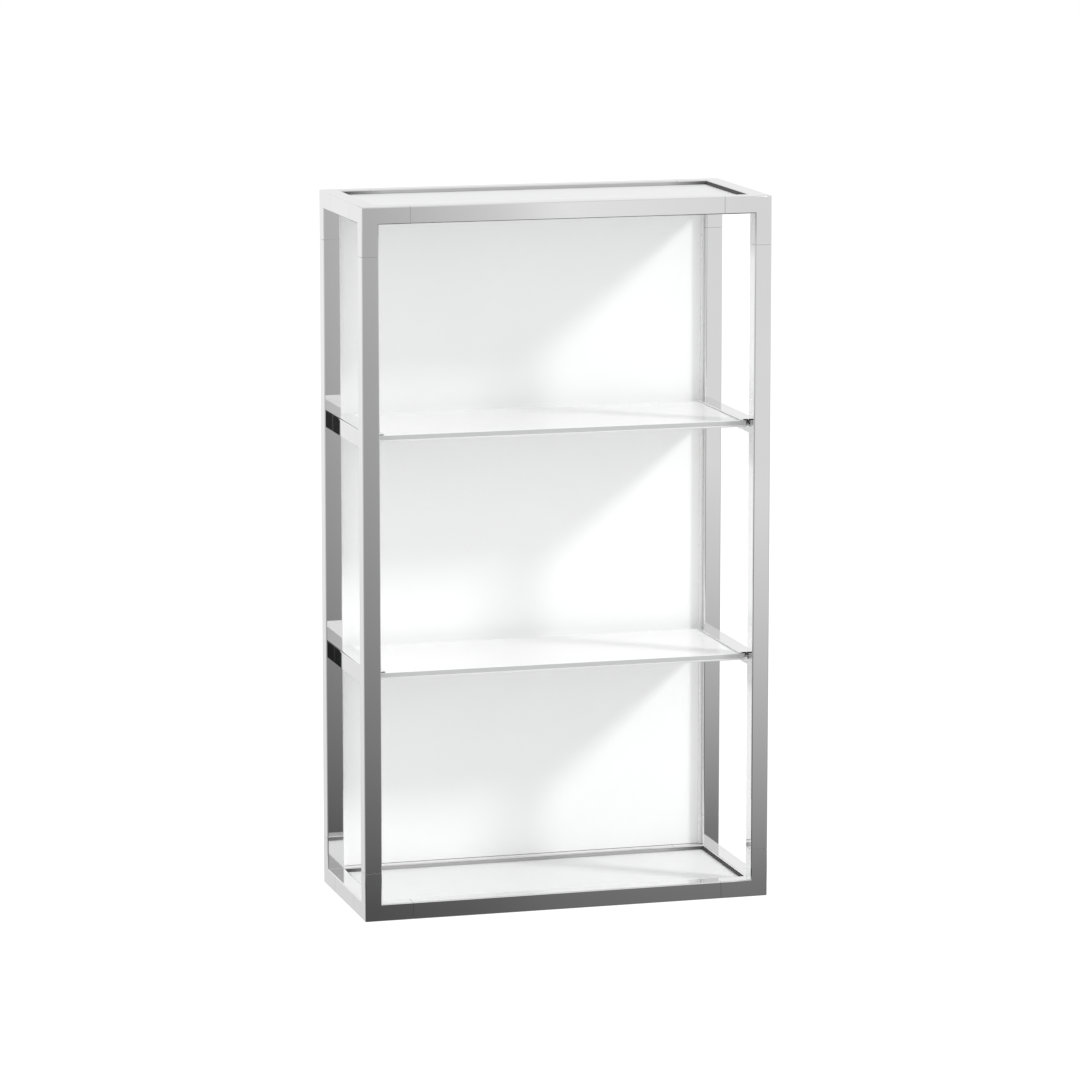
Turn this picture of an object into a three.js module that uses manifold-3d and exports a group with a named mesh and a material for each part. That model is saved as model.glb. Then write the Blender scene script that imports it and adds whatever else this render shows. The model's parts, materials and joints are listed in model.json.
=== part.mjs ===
// Wall mounted showcase: a chrome-plated square-tube frame, white panels behind and above and
// below, and two white shelves that draw out forwards under polished shelf rails.
// Millimetres. X runs across the front, +Y runs back towards the wall, +Z is up.
// The origin is the middle of the footprint, on the underside of the bottom rails.
import * as THREE from "three";
import { RoundedBoxGeometry } from "three/addons/geometries/RoundedBoxGeometry.js";
import { mergeVertices } from "three/addons/utils/BufferGeometryUtils.js";
import Module from "manifold-3d";

const wasm = await Module();
wasm.setup();

// ---- Driving dimensions ----
const WIDTH = 600;
const DEPTH = 255;
const HEIGHT = 1020;
const GAP = 0.3; // clearance wherever two pieces meet

const TUBE = 25; // outside of the square tube
const TUBE_WALL = 1.8;
const TUBE_EDGE = 1.5; // radius along the tube's long edges
const CORNER_REACH = 70; // from the outer corner to the seam on each arm
const SPIGOT = 20.8; // push-fit square inside the tube
const SPIGOT_EDGE = 1;
const SPIGOT_LENGTH = 22;

const PANEL = 6; // thickness of the top and bottom panels
const PANEL_RECESS = 6; // from the rails' upper faces down to the panel
const BACK_PANEL = 4;
const BACK_PANEL_FRONT = 116.5; // Y of the back panel's front face
const BEAD = 4; // square section of the glazing beads
const BEAD_GAP = 0.05; // beside a post, where a bead sits close

const LEDGE_LEG = 10;
const LEDGE_THICKNESS = 1.5;

const SHELF_LEVELS = { lower: HEIGHT / 3 + 17, upper: (2 * HEIGHT) / 3 + 17 };
const RAIL_OUTER_X = WIDTH / 2 - 12; // outer face of a shelf rail's web
const RAIL_LEG = 25;
const RAIL_SHEET = 2;
const RAIL_FOLD = 2; // outside radius of the fold
const TAB_FRONT_TOP = -12.5; // below the shelf, so the groove stays open at the front
const TAB_BACK_TOP = -4; // behind the shelf's back edge, which stops against this tab
const TAB_BACK_X = 268; // its inner end
const TAB_BOTTOM = -24;

const SHELF_HALF_WIDTH = 272;
const SHELF_PLATE = 6;
const SHELF_TRAY = 3;
const TRAY_BEVEL = 1.4;

const GLIDE_WIDTH = 19.7;
const GLIDE_HEIGHT = 5;
const GLIDE_LENGTH = 150;
const GLIDE_SETBACK = 15; // from the middle of the case to the middle of the glide
const GLIDE_CLEARANCE = 0.2;
const GLIDE_LEAD = 3; // length of the sloped lead-in at each end

const SCREW_X = 281; // from the middle of the case
const SCREW_Z = -18.5; // from the shelf rail's upper face
const SCREW_HOLE = 2.3; // radius
const SCREW_SHANK = 1.9; // radius
const SCREW_HEAD = 3.5; // radius
const SCREW_HEAD_HEIGHT = 2.4;
const SCREW_REACH = 10;
const SCREW_SOCKET = 1.6; // radius across the corners of the hexagon

const CLIP_LEG = 12;
const CLIP_LIP = 6.4;
const CLIP_SHEET = 1.5;
const CLIP_HEIGHT = 16;
const CLIP_LEVELS = { lower: HEIGHT / 2 - 310, upper: HEIGHT / 2 + 310 };

const HANGER_X = 150; // keyhole slots either side of the middle
const HANGER_WIDTH = 44;
const HANGER_SHEET = 3;
const KEYHOLE_ROUND = 5.5; // radius of the entry
const KEYHOLE_SLOT = 2.75; // radius of the slot's upper end
const KEYHOLE_ENTRY_Z = -3.5;
const KEYHOLE_TOP_Z = 4.5;

// ---- Places that follow from them ----
const POST_X = WIDTH / 2 - TUBE / 2;
const POST_Y = DEPTH / 2 - TUBE / 2;
const CLEAR_X = WIDTH / 2 - TUBE; // inner faces of the posts
const CLEAR_Y = DEPTH / 2 - TUBE;
const ROUND = 12; // sides of a small round hole or screw
const SIDES = { left: -1, right: 1 };
const FACES = { front: -1, back: 1 };
const ENDS = { bottom: -1, top: 1 };

const FINISHES = {
  chrome: { color: 0xc9ccd0, roughness: 0.05, metalness: 1 },
  castChrome: { color: 0xc4c7cb, roughness: 0.07, metalness: 1 },
  whiteGlass: { color: 0xf6f7f6, roughness: 0.12, metalness: 0 },
  whitePanel: { color: 0xf2f3f3, roughness: 0.35, metalness: 0 },
  whiteTrim: { color: 0xf4f5f5, roughness: 0.3, metalness: 0 },
  aluminium: { color: 0xb9bcbf, roughness: 0.35, metalness: 1 },
  nylon: { color: 0xe9e9e6, roughness: 0.55, metalness: 0 },
  steel: { color: 0x9a9da1, roughness: 0.3, metalness: 1 },
};

const showcase = new THREE.Group();

// ---- Making and placing ----
function add(name, geometry, finish, [x, y, z], [sx, sy, sz] = [1, 1, 1], parent = showcase) {
  const mesh = new THREE.Mesh(geometry, new THREE.MeshStandardMaterial(FINISHES[finish]));
  mesh.name = name;
  mesh.position.set(x, y, z);
  mesh.scale.set(sx, sy, sz);
  parent.add(mesh);
  return mesh;
}

// A closed geometry as a solid that can be joined and cut.
function solid(geometry) {
  const bare = geometry.clone();
  bare.deleteAttribute("normal");
  bare.deleteAttribute("uv");
  const merged = mergeVertices(bare, 1e-4);
  const vertProperties = new Float32Array(merged.attributes.position.array);
  const triVerts = new Uint32Array(merged.index.array);
  return new wasm.Manifold(new wasm.Mesh({ numProp: 3, vertProperties, triVerts }));
}

function geometryOf(body) {
  const { vertProperties, triVerts } = body.getMesh();
  const indexed = new THREE.BufferGeometry();
  indexed.setAttribute("position", new THREE.BufferAttribute(vertProperties, 3));
  indexed.setIndex(new THREE.BufferAttribute(triVerts, 1));
  const faceted = indexed.toNonIndexed();
  faceted.computeVertexNormals();
  return faceted;
}

function joined(...geometries) {
  return geometryOf(geometries.map(solid).reduce((whole, piece) => whole.add(piece)));
}

function cut(geometry, ...cutters) {
  return geometryOf(cutters.map(solid).reduce((left, piece) => left.subtract(piece), solid(geometry)));
}

function box(x, y, z, centre = [0, 0, 0]) {
  return new THREE.BoxGeometry(x, y, z).translate(...centre);
}

// An outline drawn across and up, extruded along +Z and centred there.
function extruded(shape, length, curveSegments = 4) {
  const made = new THREE.ExtrudeGeometry(shape, { depth: length, bevelEnabled: false, curveSegments });
  return made.translate(0, 0, -length / 2);
}

// The same outline standing in the XZ plane, extruded along Y.
const alongY = (shape, length, curveSegments) => extruded(shape, length, curveSegments).rotateX(Math.PI / 2);

// The outline drawn in the YZ plane, extruded along X.
const alongX = (shape, length) => extruded(shape, length).rotateY(Math.PI / 2).rotateX(Math.PI / 2);

function polygon(points) {
  return new THREE.Shape(points.map(([x, y]) => new THREE.Vector2(x, y)));
}

// ---- Square tube ----
function roundedSquare(size, radius) {
  const flat = size / 2 - radius;
  const points = [];
  for (let quarter = 0; quarter < 4; quarter++) {
    const middle = THREE.MathUtils.degToRad(90 * quarter + 45);
    for (const turn of [-Math.PI / 4, 0, Math.PI / 4])
      points.push([
        Math.sign(Math.cos(middle)) * flat + radius * Math.cos(middle + turn),
        Math.sign(Math.sin(middle)) * flat + radius * Math.sin(middle + turn),
      ]);
  }
  return polygon(points);
}

function tube(length) {
  const outline = roundedSquare(TUBE, TUBE_EDGE);
  const inside = TUBE / 2 - TUBE_WALL;
  const hole = [[-inside, -inside], [inside, -inside], [inside, inside], [-inside, inside]];
  outline.holes.push(new THREE.Path(hole.map(([x, y]) => new THREE.Vector2(x, y))));
  return extruded(outline, length);
}

const tubeLength = (outside) => outside - 2 * (CORNER_REACH + GAP);

// ---- Frame ----
// One arm of a corner, along +Z from the middle of the corner cube, with its spigot.
function cornerArm() {
  const reach = CORNER_REACH - TUBE / 2;
  const sleeve = extruded(roundedSquare(TUBE, TUBE_EDGE), reach).translate(0, 0, reach / 2);
  const spigotLength = reach + SPIGOT_LENGTH;
  const spigot = extruded(roundedSquare(SPIGOT, SPIGOT_EDGE), spigotLength);
  return [sleeve, spigot.translate(0, 0, spigotLength / 2)];
}

function corner() {
  const cube = new RoundedBoxGeometry(TUBE, TUBE, TUBE, 1, TUBE_EDGE);
  const up = cornerArm();
  const across = cornerArm().map((piece) => piece.rotateY(Math.PI / 2));
  const back = cornerArm().map((piece) => piece.rotateX(-Math.PI / 2));
  return joined(cube, ...up, ...across, ...back);
}

function addCorners() {
  const geometry = corner();
  for (const [end, up] of Object.entries(ENDS))
    for (const [face, back] of Object.entries(FACES))
      for (const [side, right] of Object.entries(SIDES)) {
        const place = [right * POST_X, back * POST_Y, up > 0 ? HEIGHT - TUBE / 2 : TUBE / 2];
        add(`corner_${end}_${face}_${side}`, geometry, "castChrome", place, [-right, -back, -up]);
      }
}

// A front right post, with a screw hole for each shelf rail in its back wall.
function post() {
  const wall = TUBE / 2 - TUBE_WALL / 2;
  const holes = Object.values(SHELF_LEVELS).map((level) =>
    new THREE.CylinderGeometry(SCREW_HOLE, SCREW_HOLE, 2 * TUBE_WALL, ROUND)
      .translate(SCREW_X - POST_X, wall, level + SCREW_Z - HEIGHT / 2));
  return cut(tube(tubeLength(HEIGHT)), ...holes);
}

function addPosts() {
  const geometry = post();
  for (const [face, back] of Object.entries(FACES))
    for (const [side, right] of Object.entries(SIDES))
      add(`post_${face}_${side}`, geometry, "chrome",
        [right * POST_X, back * POST_Y, HEIGHT / 2], [right, -back, 1]);
}

function keyhole() {
  const outline = new THREE.Shape();
  const meet = Math.asin(KEYHOLE_SLOT / KEYHOLE_ROUND);
  outline.absarc(0, KEYHOLE_ENTRY_Z, KEYHOLE_ROUND, Math.PI / 2 + meet, 2.5 * Math.PI - meet);
  outline.absarc(0, KEYHOLE_TOP_Z, KEYHOLE_SLOT, 0, Math.PI);
  return outline;
}

function addRails() {
  const across = tube(tubeLength(WIDTH)).rotateY(Math.PI / 2);
  const wall = TUBE / 2 - TUBE_WALL / 2;
  const slots = Object.values(SIDES).map((side) =>
    alongY(keyhole(), 2 * TUBE_WALL).translate(side * HANGER_X, wall, 0));
  const slotted = cut(across, ...slots);
  const inwards = tube(tubeLength(DEPTH)).rotateX(Math.PI / 2);
  for (const [end, up] of Object.entries(ENDS)) {
    const z = up > 0 ? HEIGHT - TUBE / 2 : TUBE / 2;
    for (const [face, back] of Object.entries(FACES)) {
      const hangs = up > 0 && back > 0;
      add(`rail_${end}_${face}`, hangs ? slotted : across, "chrome", [0, back * POST_Y, z]);
    }
    for (const [side, right] of Object.entries(SIDES))
      add(`depth_rail_${end}_${side}`, inwards, "chrome", [right * POST_X, 0, z]);
  }
}

// Steel plates inside the top back rail that take the weight behind its keyhole slots.
function addHangers() {
  const height = SPIGOT;
  const outline = polygon([
    [-HANGER_WIDTH / 2, -height / 2], [HANGER_WIDTH / 2, -height / 2],
    [HANGER_WIDTH / 2, height / 2], [-HANGER_WIDTH / 2, height / 2],
  ]);
  outline.holes.push(keyhole());
  const geometry = alongY(outline, HANGER_SHEET);
  const y = DEPTH / 2 - TUBE_WALL - GAP - HANGER_SHEET / 2;
  for (const [side, right] of Object.entries(SIDES))
    add(`hanger_plate_${side}`, geometry, "steel", [right * HANGER_X, y, HEIGHT - TUBE / 2]);
}

// ---- Panels ----
const panelTop = (up) => (up > 0 ? HEIGHT : TUBE) - PANEL_RECESS;

function addPanels() {
  const x = 2 * (CLEAR_X - GAP);
  const y = 2 * (CLEAR_Y - GAP);
  for (const [end, up] of Object.entries(ENDS))
    add(`${end}_panel`, box(x, y, PANEL), "whitePanel", [0, 0, panelTop(up) - PANEL / 2]);
  const z = HEIGHT - 2 * (TUBE + GAP);
  const middle = BACK_PANEL_FRONT + BACK_PANEL / 2;
  add("back_panel", box(x, BACK_PANEL, z), "whitePanel", [0, middle, HEIGHT / 2]);
  const beadX = CLEAR_X - BEAD_GAP - BEAD / 2;
  const beadY = BACK_PANEL_FRONT - GAP - BEAD / 2;
  for (const [side, right] of Object.entries(SIDES))
    add(`glazing_bead_${side}`, box(BEAD, BEAD, z), "whiteTrim", [right * beadX, beadY, HEIGHT / 2]);
}

// An angle along X whose upright leg stands against a face at Y = 0 and whose other leg
// carries a panel on its upper side at Z = 0.
function ledge(length) {
  const [leg, sheet] = [LEDGE_LEG, LEDGE_THICKNESS];
  const section = [[0, 0], [0, -leg], [sheet, -leg], [sheet, -sheet], [leg, -sheet], [leg, 0]];
  return alongX(polygon(section), length);
}

function addLedges() {
  const across = ledge(2 * (CLEAR_X - GAP));
  const inwards = ledge(2 * (CLEAR_Y - LEDGE_LEG - 2 * GAP)).rotateZ(-Math.PI / 2);
  for (const [end, up] of Object.entries(ENDS)) {
    const z = panelTop(up) - PANEL - GAP;
    for (const [face, back] of Object.entries(FACES))
      add(`panel_ledge_${end}_${face}`, across, "aluminium",
        [0, back * (CLEAR_Y - GAP), z], [1, -back, 1]);
    for (const [side, right] of Object.entries(SIDES))
      add(`panel_ledge_${end}_${side}`, inwards, "aluminium",
        [right * (CLEAR_X - GAP), 0, z], [-right, 1, 1]);
  }
}

// Clips that hold the back panel forwards against its beads.
function addClips() {
  const section = [
    [0, 0], [CLIP_LEG, 0], [CLIP_LEG, CLIP_SHEET], [CLIP_SHEET, CLIP_SHEET],
    [CLIP_SHEET, CLIP_LIP], [0, CLIP_LIP],
  ];
  const geometry = extruded(polygon(section), CLIP_HEIGHT);
  const y = BACK_PANEL_FRONT + BACK_PANEL + GAP;
  for (const [level, z] of Object.entries(CLIP_LEVELS))
    for (const [side, right] of Object.entries(SIDES))
      add(`back_clip_${level}_${side}`, geometry, "steel",
        [right * (CLEAR_X - GAP), y, z], [-right, 1, 1]);
}

// ---- Shelf rails ----
// A right-hand rail, drawn from the middle of the case with its upper face at Z = 0.
function shelfRail() {
  const inner = RAIL_OUTER_X - RAIL_LEG;
  const web = RAIL_OUTER_X - RAIL_SHEET;
  const half = CLEAR_Y - GAP;
  const section = new THREE.Shape();
  section.moveTo(inner, -RAIL_SHEET);
  section.lineTo(web, -RAIL_SHEET);
  section.lineTo(web, -RAIL_LEG);
  section.lineTo(RAIL_OUTER_X, -RAIL_LEG);
  section.absarc(RAIL_OUTER_X - RAIL_FOLD, -RAIL_FOLD, RAIL_FOLD, 0, Math.PI / 2);
  section.lineTo(inner, 0);
  const tabs = [
    endTab(CLEAR_X + 1, TAB_FRONT_TOP, -half + RAIL_SHEET / 2),
    endTab(TAB_BACK_X, TAB_BACK_TOP, half - RAIL_SHEET / 2),
  ];
  const holes = [-half, half].map((y) =>
    new THREE.CylinderGeometry(SCREW_HOLE, SCREW_HOLE, 3 * RAIL_SHEET, ROUND)
      .translate(SCREW_X, y, SCREW_Z));
  return cut(joined(alongY(section, 2 * half), ...tabs), ...holes);
}

// A tab folded in from the web, lying against a post.
function endTab(fromX, top, y) {
  const outer = RAIL_OUTER_X - RAIL_SHEET / 2;
  const centre = [(fromX + outer) / 2, y, (top + TAB_BOTTOM) / 2];
  return box(outer - fromX, RAIL_SHEET, top - TAB_BOTTOM, centre);
}

// A button-head screw along Y: its head towards +Y, its bearing face at Y = 0.
function screw() {
  const profile = [
    [0, -SCREW_REACH], [SCREW_SHANK - 0.5, -SCREW_REACH], [SCREW_SHANK, 0.6 - SCREW_REACH],
    [SCREW_SHANK, 0], [SCREW_HEAD, 0], [SCREW_HEAD, 0.5 * SCREW_HEAD_HEIGHT],
    [0.72 * SCREW_HEAD, SCREW_HEAD_HEIGHT], [0, SCREW_HEAD_HEIGHT],
  ].map(([x, y]) => new THREE.Vector2(x, y));
  const socket = new THREE.CylinderGeometry(SCREW_SOCKET, SCREW_SOCKET, SCREW_HEAD_HEIGHT, 6);
  return cut(new THREE.LatheGeometry(profile, ROUND), socket.translate(0, SCREW_HEAD_HEIGHT, 0));
}

function glide() {
  const half = GLIDE_LENGTH / 2;
  const drop = GLIDE_LEAD / 2;
  const section = [
    [-half, -GLIDE_HEIGHT], [half, -GLIDE_HEIGHT], [half, -drop], [half - GLIDE_LEAD, 0],
    [GLIDE_LEAD - half, 0], [-half, -drop],
  ];
  const outer = RAIL_OUTER_X - RAIL_SHEET - GAP;
  return alongX(polygon(section), GLIDE_WIDTH).translate(outer - GLIDE_WIDTH / 2, GLIDE_SETBACK, 0);
}

function addShelfRails() {
  const [rail, bolt, block] = [shelfRail(), screw(), glide()];
  const glideTop = -RAIL_SHEET - 2 * GAP - SHELF_PLATE - SHELF_TRAY - GLIDE_CLEARANCE;
  const screwY = CLEAR_Y - RAIL_SHEET - 2 * GAP;
  for (const [shelf, level] of Object.entries(SHELF_LEVELS))
    for (const [side, right] of Object.entries(SIDES)) {
      add(`shelf_rail_${shelf}_${side}`, rail, "chrome", [0, 0, level], [right, 1, 1]);
      add(`shelf_glide_${shelf}_${side}`, block, "nylon", [0, 0, level + glideTop], [right, 1, 1]);
      for (const [face, back] of Object.entries(FACES))
        add(`rail_screw_${shelf}_${face}_${side}`, bolt, "steel",
          [right * SCREW_X, back * screwY, level + SCREW_Z], [1, -back, 1]);
    }
}

// ---- Shelves ----
function tray(depth) {
  const section = [
    [-depth / 2, 0], [-depth / 2, TRAY_BEVEL - SHELF_TRAY], [TRAY_BEVEL - depth / 2, -SHELF_TRAY],
    [depth / 2, -SHELF_TRAY], [depth / 2, 0],
  ];
  return alongX(polygon(section), 2 * SHELF_HALF_WIDTH);
}

function addShelves() {
  const front = GAP - CLEAR_Y;
  const back = CLEAR_Y - RAIL_SHEET - 2 * GAP;
  const depth = back - front;
  const y = (front + back) / 2;
  const plateTop = -RAIL_SHEET - GAP;
  for (const [shelf, level] of Object.entries(SHELF_LEVELS)) {
    const moving = new THREE.Group();
    moving.position.set(0, y, level + plateTop);
    showcase.add(moving);
    const plate = box(2 * SHELF_HALF_WIDTH, depth, SHELF_PLATE);
    add(`shelf_plate_${shelf}`, plate, "whiteGlass", [0, 0, -SHELF_PLATE / 2], [1, 1, 1], moving);
    const trayTop = -SHELF_PLATE - GAP;
    add(`shelf_tray_${shelf}`, tray(depth), "aluminium", [0, 0, trayTop], [1, 1, 1], moving);
  }
}

addCorners();
addPosts();
addRails();
addHangers();
addPanels();
addLedges();
addClips();
addShelfRails();
addShelves();

export default showcase;
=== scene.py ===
"""The looks of a wall mounted showcase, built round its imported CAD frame.

Metres. X runs across the front, +Y runs back towards the wall, +Z is up.
"""
import json
import math

import bmesh
import bpy
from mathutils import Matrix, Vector


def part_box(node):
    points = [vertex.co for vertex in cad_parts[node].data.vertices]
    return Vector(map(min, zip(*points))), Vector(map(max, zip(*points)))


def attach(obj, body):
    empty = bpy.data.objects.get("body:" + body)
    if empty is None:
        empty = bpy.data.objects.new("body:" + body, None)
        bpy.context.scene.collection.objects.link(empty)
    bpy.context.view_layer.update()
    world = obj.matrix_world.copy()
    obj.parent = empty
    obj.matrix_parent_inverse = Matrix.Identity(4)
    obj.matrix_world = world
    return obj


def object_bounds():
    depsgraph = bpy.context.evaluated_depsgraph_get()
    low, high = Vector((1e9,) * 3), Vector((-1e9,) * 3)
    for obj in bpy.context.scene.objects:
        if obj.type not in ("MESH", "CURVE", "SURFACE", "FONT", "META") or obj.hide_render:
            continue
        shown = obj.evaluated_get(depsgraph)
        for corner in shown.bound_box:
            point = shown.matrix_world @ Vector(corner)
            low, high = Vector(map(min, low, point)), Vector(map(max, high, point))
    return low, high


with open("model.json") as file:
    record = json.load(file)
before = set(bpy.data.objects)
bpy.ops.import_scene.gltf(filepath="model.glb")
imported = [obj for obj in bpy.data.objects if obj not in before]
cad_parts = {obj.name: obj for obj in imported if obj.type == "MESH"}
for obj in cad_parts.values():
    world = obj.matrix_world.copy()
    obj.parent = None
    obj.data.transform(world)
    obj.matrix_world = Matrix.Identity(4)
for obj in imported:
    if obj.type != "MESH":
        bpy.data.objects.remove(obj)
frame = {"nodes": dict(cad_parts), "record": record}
nodes = frame["nodes"]
cad_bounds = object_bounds()

MM = 0.001

# ---- View ----
VIEW_AZIMUTH = math.radians(15.7)  # how far the camera's line turns from +Y towards +X
VIEW_DOWN = math.radians(9.8)
VIEW_DISTANCE = 7.4957
VIEW_AIM = Vector((-0.0057, 0.0028, 0.0064))  # from the middle of the case
VIEW_LENS = 173.1  # in millimetres, like the sensor
SENSOR = 36.0
VIEW_NEAR, VIEW_FAR = 0.1, 100.0

# ---- Studio ----
WORLD_LIGHT = 1.0
KEY_LIGHT = 1.35
KEY_FROM = Vector((1.3, -1.0, 1.1))
KEY_SOFTNESS = math.radians(9)
FLOOR_DROP = 1.0
FLOOR_SIZE = 60.0
FLOOR_TONES = (0.9, 0.9, 0.9), (0.88, 0.88, 0.88)
FLOOR_ROUGHNESS = 0.9

SCREEN_X = (-3.0, 3.0)
SCREEN_Y = (-2.4, 2.5)
SCREEN_Z = (-0.98, 2.2)
UNLIT_BY_SCREENS = ("camera", "diffuse", "shadow", "transmission", "volume_scatter")
# Each grade lists places along an axis, in metres, and the brightness there.
FRONT_UP = [
    (-0.95, 0.055), (-0.56, 0.09), (-0.46, 0.132), (-0.03, 0.285), (0.43, 0.415), (0.6, 0.455),
    (0.73, 0.48), (1.0, 0.55), (2.0, 0.8),
]
FRONT_ACROSS = [
    (-2.9, 1.0), (-1.15, 0.95), (-1.02, 0.08), (-0.4, 0.08), (0.0, 0.92), (0.27, 1.0),
    (0.365, 1.13), (0.444, 1.27), (0.523, 1.42), (0.6, 1.67), (0.68, 1.85), (0.9, 2.1),
    (1.02, 2.2), (1.8, 2.3),
]
FRONT_MOST = [(-2.9, 0.9), (0.6, 0.87), (0.68, 0.86), (0.88, 0.8), (1.0, 0.765), (1.5, 0.76)]
BACK_UP = [(-0.6, 0.74), (-0.45, 0.78), (0.57, 0.93), (1.2, 0.9), (1.5, 0.88), (2.1, 0.93)]
BACK_ACROSS = [(-2.9, 1.0), (-0.2, 1.0), (0.4, 0.98), (1.2, 1.0), (2.9, 0.6)]
SIDE_UP = [(-0.9, 0.2), (-0.2, 0.45), (0.6, 0.8), (2.1, 1.0)]
CEILING = [(-2.9, 0.8), (0.0, 0.78), (2.9, 0.8)]
GROUND = [(-2.3, 0.05), (-0.6, 0.1), (0.3, 0.35), (2.4, 0.7)]

# ---- Finishes ----
CORNER_TONE = (0.865, 0.865, 0.865)
TUBE_TONE = (0.87, 0.87, 0.87)
WORN = 0.98  # of a chrome's tone, where it is darkest
CHROME_HANDLING = (0.7, 1.5)  # of a chrome's roughness, at its cleanest and most handled
BACK_PANEL_TONE = 0.92
# The top and bottom panels are the back panel's white made darker: painted shade for how light
# falls on them.
TOP_PANEL_SHADED_TONE = 0.72
BOTTOM_PANEL_SHADED_TONE = 0.82
PANEL_CLOUD = 0.012  # how much darker a panel's clouds are
PANEL_COOL = 0.003  # how much less red than green and blue a panel is
GLASS_TONES = (0.90, 0.905, 0.90), (0.89, 0.895, 0.89)
GLASS_IOR = 1.5
# The cut edges' grey is partly the sheet edge's own tint, partly painted shade and painted
# reflection.
EDGE_TINT_AND_SHADE = (0.45, 0.455, 0.455)  # a cut edge of the shelf sheet
EDGE_SKIN = 0.05 * MM
GRAIN_STRETCH = (0.02, 1, 1)  # brushed along X

# ---- Gaskets ----
GASKET_GREY = (0.34, 0.34, 0.34)
# The black is painted shade down the gasket's sides, and the jitter blurs its edge.
GASKET_SIDE_SHADE = (0.05, 0.05, 0.051)
GASKET_SIDE_SHADE_SPAN = (0.215, 0.27)  # from the middle of the case
GASKET_SHADE_JITTER = 5 * MM
GASKET_TALL = 4.2 * MM  # against the rails
GASKET_LOW = 0.9 * MM  # at its lip, on the panel
GASKET_WIDE = 2.4 * MM
GASKET_SHOULDER = 0.35 * GASKET_WIDE  # the flat top, beside the rails
GASKET_LIFT = 0.05 * MM  # clear of the panel and rails
GASKET_ROUND = 0.3 * MM
GASKET_ROUND_STEPS = 3

# ---- Finer CAD surfaces ----
JOINED = 0.005 * MM  # facets' corners nearer than this are one
SQUARE = 0.99999  # cosine between a flat face's normal and its axis
SHARP = math.radians(50)  # edges steeper than this stay sharp
ONE_FACE = math.radians(0.5)  # facets that turn less than this are one face
BEVELLED = math.radians(60)  # edges steeper than this are eased
BEVEL_STEPS = 2
EASED = {
    "corner_chrome": 0.12 * MM, "tube_chrome": 0.12 * MM, "rail_polish": 0.15 * MM,
    "white_panel": 0.4 * MM, "white_glass": 0.4 * MM, "white_trim": 0.3 * MM,
    "aluminium": 0.15 * MM, "nylon": 0.4 * MM, "steel": 0.15 * MM,
}

MIX_FACTOR, MIX_FIRST, MIX_SECOND, MIX_RESULT = 0, 6, 7, 2  # a Mix node's sockets for colour


def add_camera():
    data = bpy.data.cameras.new("camera")
    data.lens, data.sensor_width = VIEW_LENS, SENSOR
    data.clip_start, data.clip_end = VIEW_NEAR, VIEW_FAR
    camera = bpy.data.objects.new("camera", data)
    bpy.context.scene.collection.objects.link(camera)
    level = math.cos(VIEW_DOWN)
    across, back = math.sin(VIEW_AZIMUTH) * level, math.cos(VIEW_AZIMUTH) * level
    forward = Vector((across, back, -math.sin(VIEW_DOWN)))
    low, high = cad_bounds
    camera.location = (low + high) / 2 + VIEW_AIM - forward * VIEW_DISTANCE
    camera.rotation_mode = "QUATERNION"
    camera.rotation_quaternion = forward.to_track_quat("-Z", "Y")
    bpy.context.scene.camera = camera


# ---- Node materials ----
class Nodes:
    """A material's node tree, with short calls to add and link nodes."""

    def __init__(self, name):
        self.material = bpy.data.materials.new(name)
        self.material.use_nodes = True
        self.tree = self.material.node_tree
        self.shader = self.tree.nodes["Principled BSDF"]
        self.place = self.add("ShaderNodeTexCoord").outputs["Object"]

    def add(self, kind, **settings):
        node = self.tree.nodes.new(kind)
        for key, value in settings.items():
            setattr(node, key, value)
        return node

    def link(self, source, target):
        self.tree.links.new(source, target)

    def set(self, **values):
        for name, value in values.items():
            self.shader.inputs[name].default_value = value

    def axes(self):
        apart = self.add("ShaderNodeSeparateXYZ")
        self.link(self.place, apart.inputs[0])
        return apart.outputs

    def noise(self, scale, detail=3.0, roughness=0.5, stretch=(1, 1, 1)):
        mapping = self.add("ShaderNodeMapping")
        mapping.inputs["Scale"].default_value = stretch
        self.link(self.place, mapping.inputs["Vector"])
        texture = self.add("ShaderNodeTexNoise")
        texture.inputs["Scale"].default_value = scale
        texture.inputs["Detail"].default_value = detail
        texture.inputs["Roughness"].default_value = roughness
        self.link(mapping.outputs["Vector"], texture.inputs["Vector"])
        return texture.outputs["Fac"]

    def ramp(self, value, low, high, start=0.3, end=0.7):
        ranged = self.add("ShaderNodeMapRange")
        limits = (("From Min", start), ("From Max", end), ("To Min", low), ("To Max", high))
        for name, number in limits:
            ranged.inputs[name].default_value = number
        self.link(value, ranged.inputs["Value"])
        return ranged.outputs["Result"]

    def cloud(self, scale, detail):
        return self.ramp(self.noise(scale, detail), 0.0, 1.0)

    def mix(self, factor, first, second):
        """Mixes two colours, of which the first may be another node's output."""
        mixed = self.add("ShaderNodeMix", data_type="RGBA")
        if isinstance(first, bpy.types.NodeSocket):
            self.link(first, mixed.inputs[MIX_FIRST])
        else:
            mixed.inputs[MIX_FIRST].default_value = (*first, 1)
        mixed.inputs[MIX_SECOND].default_value = (*second, 1)
        self.link(factor, mixed.inputs[MIX_FACTOR])
        return mixed.outputs[MIX_RESULT]

    def math(self, operation, first, second):
        made = self.add("ShaderNodeMath", operation=operation)
        for socket, value in zip(made.inputs, (first, second)):
            if isinstance(value, (int, float)):
                socket.default_value = value
            else:
                self.link(value, socket)
        return made.outputs["Value"]

    def paint(self, factor, first, second):
        self.link(self.mix(factor, first, second), self.shader.inputs["Base Color"])

    def roughen(self, value, low, high):
        self.link(self.ramp(value, low, high), self.shader.inputs["Roughness"])

    def bump(self, height, strength, distance):
        bump = self.add("ShaderNodeBump")
        bump.inputs["Strength"].default_value = strength
        bump.inputs["Distance"].default_value = distance
        self.link(height, bump.inputs["Height"])
        self.link(bump.outputs["Normal"], self.shader.inputs["Normal"])


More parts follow.
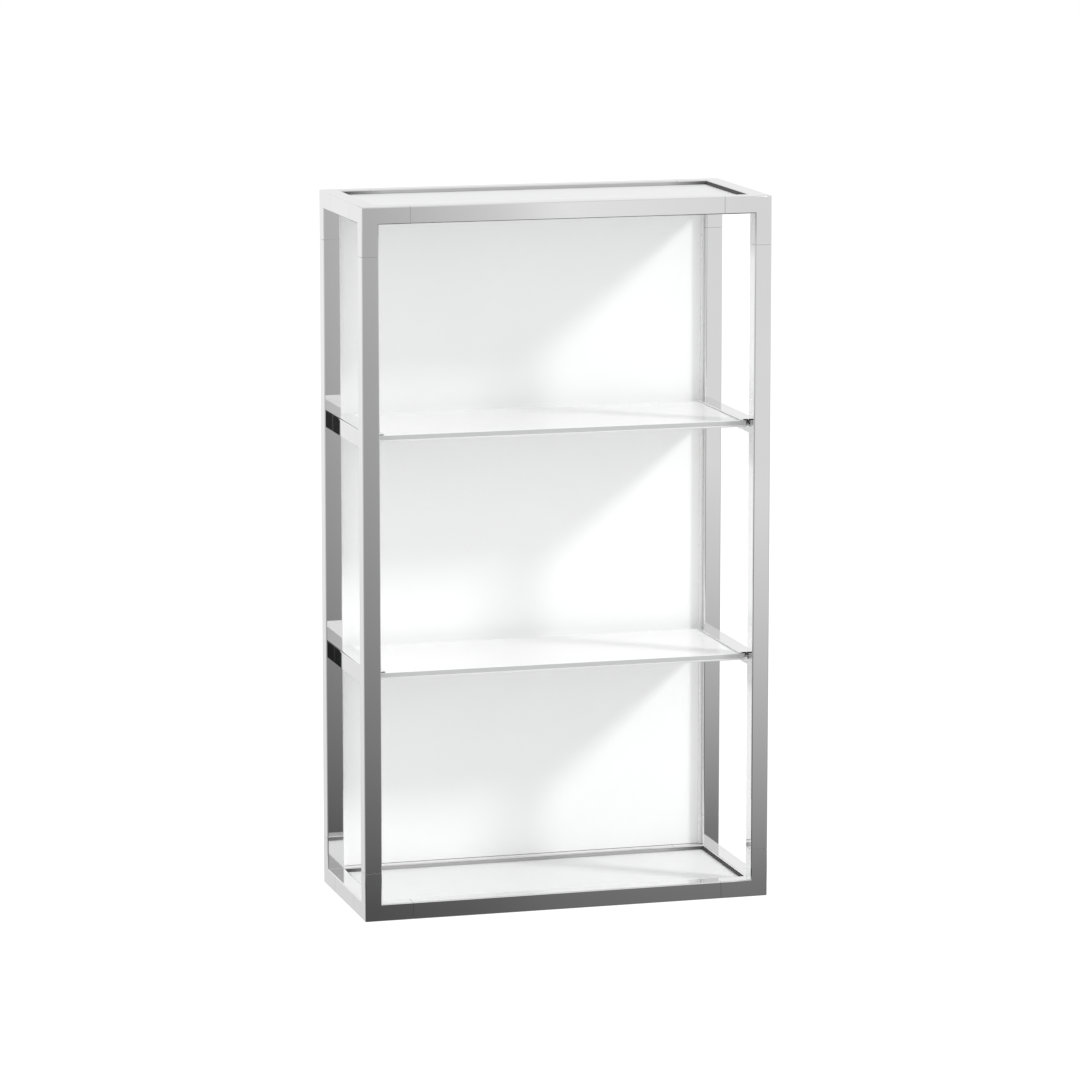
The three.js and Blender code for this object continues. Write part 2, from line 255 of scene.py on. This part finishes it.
def clouded(name, tones, cloud, roughness, handling, relief, strength, depth, metallic=0.0):
    """A finish with one noise in its colour, one in its roughness and one in its relief.

    Each noise is its scale, its detail and, where that isn't usual, its roughness.
    """
    made = Nodes(name)
    made.set(Metallic=metallic)
    made.paint(made.cloud(*cloud), *tones)
    made.roughen(made.noise(*handling), *roughness)
    made.bump(made.noise(*relief), strength, depth)
    return made.material


def chrome(name, tone, roughness):
    worn = [WORN * channel for channel in tone]
    clean, handled = CHROME_HANDLING
    return clouded(
        name, tones=(tone, worn), cloud=(7.0, 4.0),
        roughness=(clean * roughness, handled * roughness), handling=(23.0, 6.0, 0.6),
        relief=(120.0, 2.0), strength=0.03, depth=0.02 * MM, metallic=1.0)


def white_panel(name, bright):
    dull = bright - PANEL_CLOUD
    tones = [(tone, tone + PANEL_COOL, tone + PANEL_COOL) for tone in (bright, dull)]
    return clouded(
        name, tones=tones, cloud=(5.0, 5.0), roughness=(0.3, 0.4), handling=(40.0, 4.0),
        relief=(900.0, 2.0), strength=0.06, depth=0.05 * MM)


def white_trim():
    return clouded(
        "white_trim", tones=((0.97, 0.97, 0.97), (0.96, 0.96, 0.96)), cloud=(80.0, 3.0),
        roughness=(0.25, 0.35), handling=(200.0, 3.0),
        relief=(700.0, 2.0), strength=0.05, depth=0.05 * MM)


def nylon():
    return clouded(
        "nylon", tones=((0.80, 0.80, 0.79), (0.75, 0.75, 0.74)), cloud=(60.0, 4.0),
        roughness=(0.45, 0.6), handling=(200.0, 3.0),
        relief=(1500.0, 3.0), strength=0.2, depth=0.1 * MM)


def zinc_steel():
    return clouded(
        "zinc_steel", tones=((0.6, 0.61, 0.63), (0.48, 0.49, 0.5)), cloud=(300.0, 3.0),
        roughness=(0.2, 0.38), handling=(500.0, 3.0),
        relief=(2500.0, 2.0), strength=0.1, depth=0.05 * MM, metallic=1.0)


def brushed(name, metallic, tones, roughness, strength):
    """A finish whose colour, roughness and relief all follow one grain along X."""
    made = Nodes(name)
    made.set(Metallic=metallic)
    grain = made.noise(400.0, 4.0, 0.6, stretch=GRAIN_STRETCH)
    made.paint(grain, *tones)
    made.roughen(grain, *roughness)
    made.bump(grain, strength, 0.05 * MM)
    return made.material


def aluminium():
    return brushed(
        "aluminium", metallic=1.0, tones=((0.62, 0.63, 0.64), (0.5, 0.51, 0.52)),
        roughness=(0.25, 0.42), strength=0.1)


def satin_tray():
    return brushed(
        "satin_tray", metallic=0.3, tones=((0.84, 0.84, 0.84), (0.76, 0.76, 0.76)),
        roughness=(0.35, 0.5), strength=0.08)


def white_glass():
    """White sheet whose cut edges, at the ends of its own X and Y, are painted greyer than its
    faces: partly the edges' own tint, partly painted shade and painted reflection.
    """
    made = Nodes("white_glass")
    made.set(IOR=GLASS_IOR)
    face = made.mix(made.cloud(6.0, 3.0), *GLASS_TONES)
    axes = made.axes()
    low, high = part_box("shelf_plate_lower")
    cuts = []
    for axis in "xy":
        start, end = getattr(low, axis), getattr(high, axis)
        away = made.math("SUBTRACT", axes[axis.upper()], (start + end) / 2)
        away = made.math("ABSOLUTE", away, 0.0)
        cuts.append(made.math("GREATER_THAN", away, (end - start) / 2 - EDGE_SKIN))
    # the cut edges get the grey: painted shade and painted reflection on top of their own tint
    made.paint(made.math("MAXIMUM", *cuts), face, EDGE_TINT_AND_SHADE)
    made.roughen(made.noise(30.0, 5.0), 0.06, 0.12)
    made.bump(made.noise(20.0, 2.0), 0.02, 0.05 * MM)
    return made.material


def gasket_rubber():
    """Grey rubber along the front and back, with painted shade darkening it to black down the
    sides.
    """
    made = Nodes("gasket_rubber")
    away = made.math("ABSOLUTE", made.axes()["X"], 0.0)
    shade_jitter = made.math("MULTIPLY", made.noise(150.0, 4.0), GASKET_SHADE_JITTER)
    # painted shade: the gasket turns black towards the sides of the case
    side_shade = made.ramp(made.math("ADD", away, shade_jitter), 0.0, 1.0, *GASKET_SIDE_SHADE_SPAN)
    made.paint(side_shade, GASKET_GREY, GASKET_SIDE_SHADE)
    made.roughen(made.noise(400.0), 0.5, 0.7)
    made.bump(made.noise(1800.0, 3.0), 0.2, 0.1 * MM)
    return made.material


# ---- Finer CAD surfaces ----
def fine_surface_group():
    """Joins a CAD mesh's facets and shades it anew.

    Faces square to an axis are flat, the rest are smooth, and steep edges are sharp.
    """
    group = bpy.data.node_groups.new("fine_surface", "GeometryNodeTree")
    for way in ("INPUT", "OUTPUT"):
        group.interface.new_socket("Geometry", in_out=way, socket_type="NodeSocketGeometry")
    source = group.nodes.new("NodeGroupInput")
    bare = group.nodes.new("GeometryNodeRemoveAttribute")
    bare.inputs["Name"].default_value = "custom_normal"
    merge = group.nodes.new("GeometryNodeMergeByDistance")
    merge.inputs["Distance"].default_value = JOINED
    smooth, flat, creased = [group.nodes.new("GeometryNodeSetShadeSmooth") for _ in range(3)]
    for node in (flat, creased):
        node.inputs["Shade Smooth"].default_value = False
    creased.domain = "EDGE"
    target = group.nodes.new("NodeGroupOutput")
    chain = [source, bare, merge, smooth, flat, creased, target]
    for first, second in zip(chain, chain[1:]):
        group.links.new(first.outputs[0], second.inputs[0])
    angle = group.nodes.new("GeometryNodeInputMeshEdgeAngle").outputs["Unsigned Angle"]
    group.links.new(greater(group, angle, SHARP), creased.inputs["Selection"])
    group.links.new(greater(group, squareness(group), SQUARE), flat.inputs["Selection"])
    return group


def greater(group, value, limit):
    compare = group.nodes.new("FunctionNodeCompare")
    compare.operation = "GREATER_THAN"
    compare.inputs["B"].default_value = limit
    group.links.new(value, compare.inputs["A"])
    return compare.outputs["Result"]


def squareness(group):
    """The largest part of a face's normal along an axis, which is 1 for a face square to it."""
    normal = group.nodes.new("GeometryNodeInputNormal")
    size = group.nodes.new("ShaderNodeVectorMath")
    size.operation = "ABSOLUTE"
    apart = group.nodes.new("ShaderNodeSeparateXYZ")
    group.links.new(normal.outputs["Normal"], size.inputs[0])
    group.links.new(size.outputs["Vector"], apart.inputs[0])
    most = apart.outputs["X"]
    for axis in ("Y", "Z"):
        larger = group.nodes.new("ShaderNodeMath")
        larger.operation = "MAXIMUM"
        group.links.new(most, larger.inputs[0])
        group.links.new(apart.outputs[axis], larger.inputs[1])
        most = larger.outputs["Value"]
    return most


def add_bevel(item, width, steps):
    bevel = item.modifiers.new("eased_edges", "BEVEL")
    bevel.width, bevel.segments, bevel.limit_method = width, steps, "ANGLE"
    return bevel


def refine(node, group, edge):
    """Eases the sharp edges of a CAD node by modifiers; its mesh stays as packed."""
    item = nodes[node]
    item.modifiers.new("fine_surface", "NODES").node_group = group
    whole = item.modifiers.new("whole_faces", "DECIMATE")
    whole.decimate_type, whole.angle_limit = "DISSOLVE", ONE_FACE
    add_bevel(item, edge, BEVEL_STEPS).angle_limit = BEVELLED


def dress_nodes():
    finishes = {
        "corner_chrome": chrome("corner_chrome", CORNER_TONE, 0.03),
        "tube_chrome": chrome("tube_chrome", TUBE_TONE, 0.02),
        "rail_polish": chrome("rail_polish", TUBE_TONE, 0.05),
        "white_panel": white_panel("white_panel", BACK_PANEL_TONE),
        "white_glass": white_glass(), "white_trim": white_trim(),
        "aluminium": aluminium(), "nylon": nylon(), "steel": zinc_steel(),
    }
    tray = satin_tray()
    own = {
        "shelf_tray_lower": tray, "shelf_tray_upper": tray,
        # darker copies of the one white panel finish, as painted shade
        "top_panel": white_panel("white_top_panel_painted_shade", TOP_PANEL_SHADED_TONE),
        "bottom_panel": white_panel("white_bottom_panel_painted_shade", BOTTOM_PANEL_SHADED_TONE),
    }
    group = fine_surface_group()
    for subpart in frame["record"]["subparts"]:
        node, slot = subpart["node"], subpart["material_slot"]
        materials = nodes[node].data.materials
        for index in range(len(materials)):
            materials[index] = own.get(node, finishes[slot])
        refine(node, group, EASED[slot])


# ---- Gaskets ----
def add_gasket(name, panel):
    """A rubber wedge round the upper edge of a panel, against the rails."""
    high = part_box(panel)[1]
    x, y, z = high.x - GASKET_LIFT, high.y - GASKET_LIFT, high.z + GASKET_LIFT
    section = [  # inwards from the rails, and up from the panel
        (0, 0), (0, GASKET_TALL), (GASKET_SHOULDER, GASKET_TALL),
        (GASKET_WIDE, GASKET_LOW), (GASKET_WIDE, 0),
    ]
    turns = [(-1, -1), (1, -1), (1, 1), (-1, 1)]
    made = bmesh.new()
    loops = [
        [made.verts.new((sx * (x - inset), sy * (y - inset), z + rise)) for sx, sy in turns]
        for inset, rise in section
    ]
    for first, second in zip(loops, loops[1:] + loops[:1]):
        for corner in range(len(turns)):
            after = (corner + 1) % len(turns)
            made.faces.new((first[corner], first[after], second[after], second[corner]))
    bmesh.ops.recalc_face_normals(made, faces=made.faces)
    mesh = bpy.data.meshes.new(name)
    made.to_mesh(mesh)
    made.free()
    gasket = bpy.data.objects.new(name, mesh)
    bpy.context.scene.collection.objects.link(gasket)
    add_bevel(gasket, GASKET_ROUND, GASKET_ROUND_STEPS)
    return gasket


def add_gaskets():
    rubber = gasket_rubber()
    for panel in ("top_panel", "bottom_panel"):
        gasket = add_gasket(panel + "_gasket", panel)
        gasket.data.materials.append(rubber)
        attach(gasket, "case")


# ---- Studio ----
def plane(name, corners, material):
    mesh = bpy.data.meshes.new(name)
    mesh.from_pydata(corners, [], [(0, 1, 2, 3)])
    mesh.materials.append(material)
    made = bpy.data.objects.new(name, mesh)
    bpy.context.scene.collection.objects.link(made)
    return made


def add_floor():
    made = Nodes("floor")
    made.set(Roughness=FLOOR_ROUGHNESS)
    made.paint(made.noise(0.5), *FLOOR_TONES)
    half, z = FLOOR_SIZE / 2, cad_bounds[0].z - FLOOR_DROP
    corners = [(-half, -half, z), (half, -half, z), (half, half, z), (-half, half, z)]
    plane("floor", corners, made.material)


def grade(made, axis, stops, low, high):
    """Brightness by the straight lines between a grade's stops, along one axis."""
    ramp = made.add("ShaderNodeValToRGB")
    elements = ramp.color_ramp.elements
    while len(elements) < len(stops):
        elements.new(0.5)  # its place is set below
    top = max(value for _, value in stops)
    for element, (place, value) in zip(elements, stops):
        element.position = (place - low) / (high - low)
        element.color = (value / top, value / top, value / top, 1)
    made.link(made.ramp(made.axes()[axis], 0.0, 1.0, low, high), ramp.inputs[0])
    return made.math("MULTIPLY", ramp.outputs["Color"], top)


def add_screen(name, corners, *grades):
    """A glowing screen beside the case, seen only in glossy surfaces.

    Its first two grades multiply, and a third is the most it may reach.
    """
    made = Nodes(name)
    strength, *levels = [grade(made, *given) for given in grades]
    for operation, level in zip(("MULTIPLY", "MINIMUM"), levels):
        strength = made.math(operation, strength, level)
    glow = made.add("ShaderNodeEmission")
    made.link(strength, glow.inputs["Strength"])
    made.link(glow.outputs[0], made.tree.nodes["Material Output"].inputs["Surface"])
    screen = plane(name, corners, made.material)
    for kind in UNLIT_BY_SCREENS:
        setattr(screen, "visible_" + kind, False)


def upright(start, end):
    """The corners of a screen that stands over a line between two places on the ground."""
    low, high = SCREEN_Z
    return [(*start, low), (*end, low), (*end, high), (*start, high)]


def add_screens():
    """Screens all round the case, which give the chrome its graded tones."""
    (left, right), (front, back), (low, high) = SCREEN_X, SCREEN_Y, SCREEN_Z
    add_screen(
        "front_screen", upright((left, front), (right, front)), ("Z", FRONT_UP, low, high),
        ("X", FRONT_ACROSS, left, right), ("X", FRONT_MOST, left, right))
    add_screen(
        "back_screen", upright((left, back), (right, back)), ("Z", BACK_UP, low, high),
        ("X", BACK_ACROSS, left, right))
    for name, x in (("left_screen", left), ("right_screen", right)):
        add_screen(name, upright((x, front), (x, back)), ("Z", SIDE_UP, low, high))
    flat = [(left, front), (right, front), (right, back), (left, back)]
    add_screen("top_screen", [(x, y, high) for x, y in flat], ("X", CEILING, left, right))
    add_screen("ground_screen", [(x, y, low) for x, y in flat], ("Y", GROUND, front, back))


def add_light():
    world = bpy.data.worlds.new("studio")
    world.use_nodes = True
    background = world.node_tree.nodes["Background"]
    background.inputs["Color"].default_value = (1, 1, 1, 1)
    background.inputs["Strength"].default_value = WORLD_LIGHT
    bpy.context.scene.world = world
    data = bpy.data.lights.new("key", "SUN")
    data.energy, data.angle = KEY_LIGHT, KEY_SOFTNESS
    key = bpy.data.objects.new("key", data)
    key.rotation_mode = "QUATERNION"
    key.rotation_quaternion = KEY_FROM.to_track_quat("Z", "Y")
    bpy.context.scene.collection.objects.link(key)


bpy.context.scene.view_settings.view_transform = "Standard"
add_camera()
add_light()
add_floor()
add_screens()
dress_nodes()
add_gaskets()
